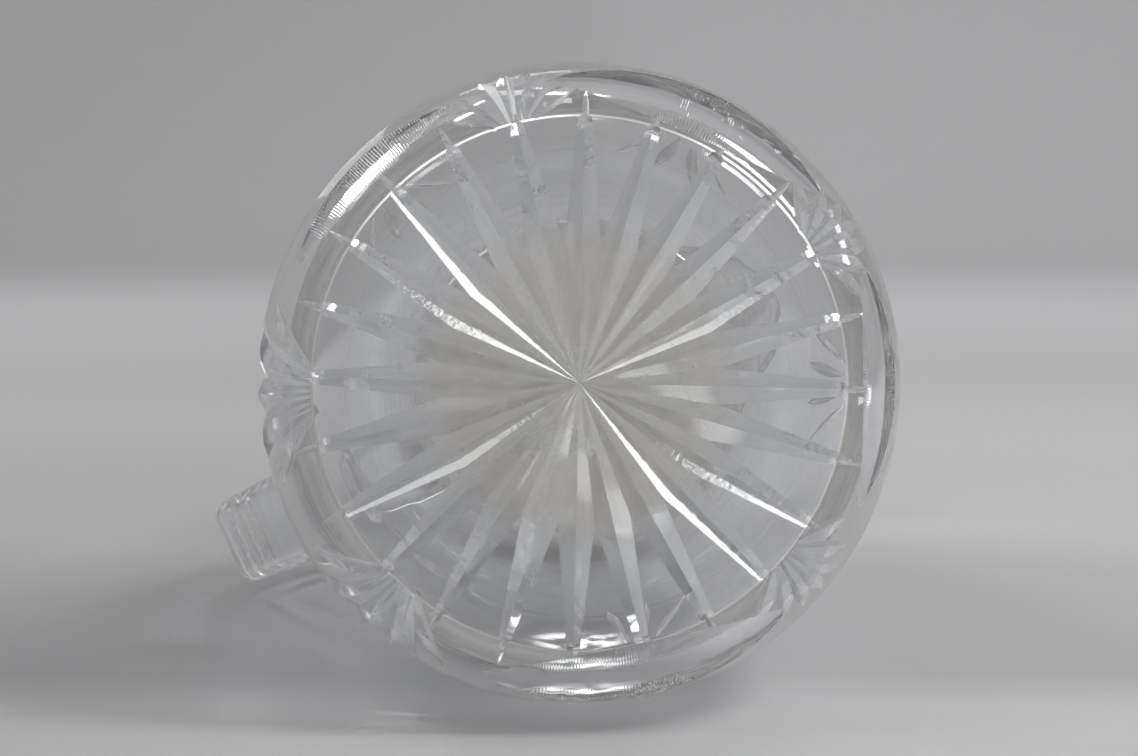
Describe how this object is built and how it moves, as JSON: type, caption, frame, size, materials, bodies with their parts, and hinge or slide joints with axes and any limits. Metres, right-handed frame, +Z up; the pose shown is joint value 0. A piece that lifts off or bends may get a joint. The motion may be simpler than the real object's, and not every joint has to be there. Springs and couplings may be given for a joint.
{
  "type": "cut crystal pitcher with hinged lid",
  "caption": "Cut lead-crystal pitcher with a star-cut foot, crescent heel cuts, applied glass handle, plated neck mount with spout and a hinged domed lid with finial.",
  "frame": {"origin": "centre of the foot on the glass body's axis, in the plane that the foot stands on", "axes": "+Z up along the glass axis, +X towards the pouring spout, the handle and the lid hinge on the -X side"},
  "size_m": [0.1671, 0.135, 0.2566],
  "materials": {
    "crystal": "polished, with satin star rays",
    "crystal_handle": "polished",
    "plaster": "matt",
    "silver_plate": "polished, lightly tarnished",
    "gilt_lining": "worn pale gilt",
    "pin_steel": "drawn wire"
  },
  "bodies": {
    "pitcher": {"glass_body": "crystal", "glass_handle": "crystal_handle", "neck_cement": "plaster", "neck_collar": "silver_plate", "pouring_spout": "silver_plate", "collar_beading": "silver_plate", "collar_moulding": "silver_plate", "hinge_bracket": "silver_plate", "hinge_pin": "pin_steel", "pin_heads": "silver_plate"},
    "lid": {"lid_shell": "silver_plate", "lid_liner": "gilt_lining", "lid_bezel": "gilt_lining", "lid_leaf": "silver_plate", "thumb_piece": "silver_plate", "dome_beading": "silver_plate", "finial_seat": "silver_plate", "finial": "silver_plate", "finial_stud": "pin_steel", "finial_nut": "pin_steel"}
  },
  "joints": [
    {"name": "lid_hinge", "type": "hinge", "parent": "pitcher", "child": "lid", "pos_m": [-0.0475, 0, 0.2112], "axis": [0, -1, 0], "range_deg": [0, 100]}
  ]
}
